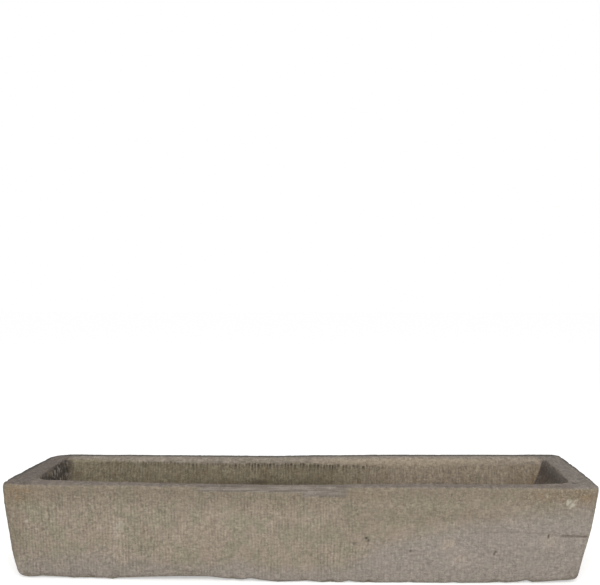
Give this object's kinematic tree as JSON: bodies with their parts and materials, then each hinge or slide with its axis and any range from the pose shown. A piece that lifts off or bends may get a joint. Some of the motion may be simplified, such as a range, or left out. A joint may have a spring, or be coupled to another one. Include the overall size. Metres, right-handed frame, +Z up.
{
  "type": "stone trough planter",
  "caption": "Long rectangular trough planter hewn from one block of weathered sandstone, with battered sides, a deep hollow, a worn rim and drain holes in the floor.",
  "frame": {"origin": "on the ground, under the middle of the trough's box", "axes": "+X along the trough to its wider end, -Y out of the front face, +Z up"},
  "size_m": [1.6306, 0.451, 0.268],
  "materials": {
    "weathered_sandstone": "hand tooled and weathered, matt"
  },
  "bodies": {
    "root": {"trough": "weathered_sandstone"}
  },
  "joints": []
}
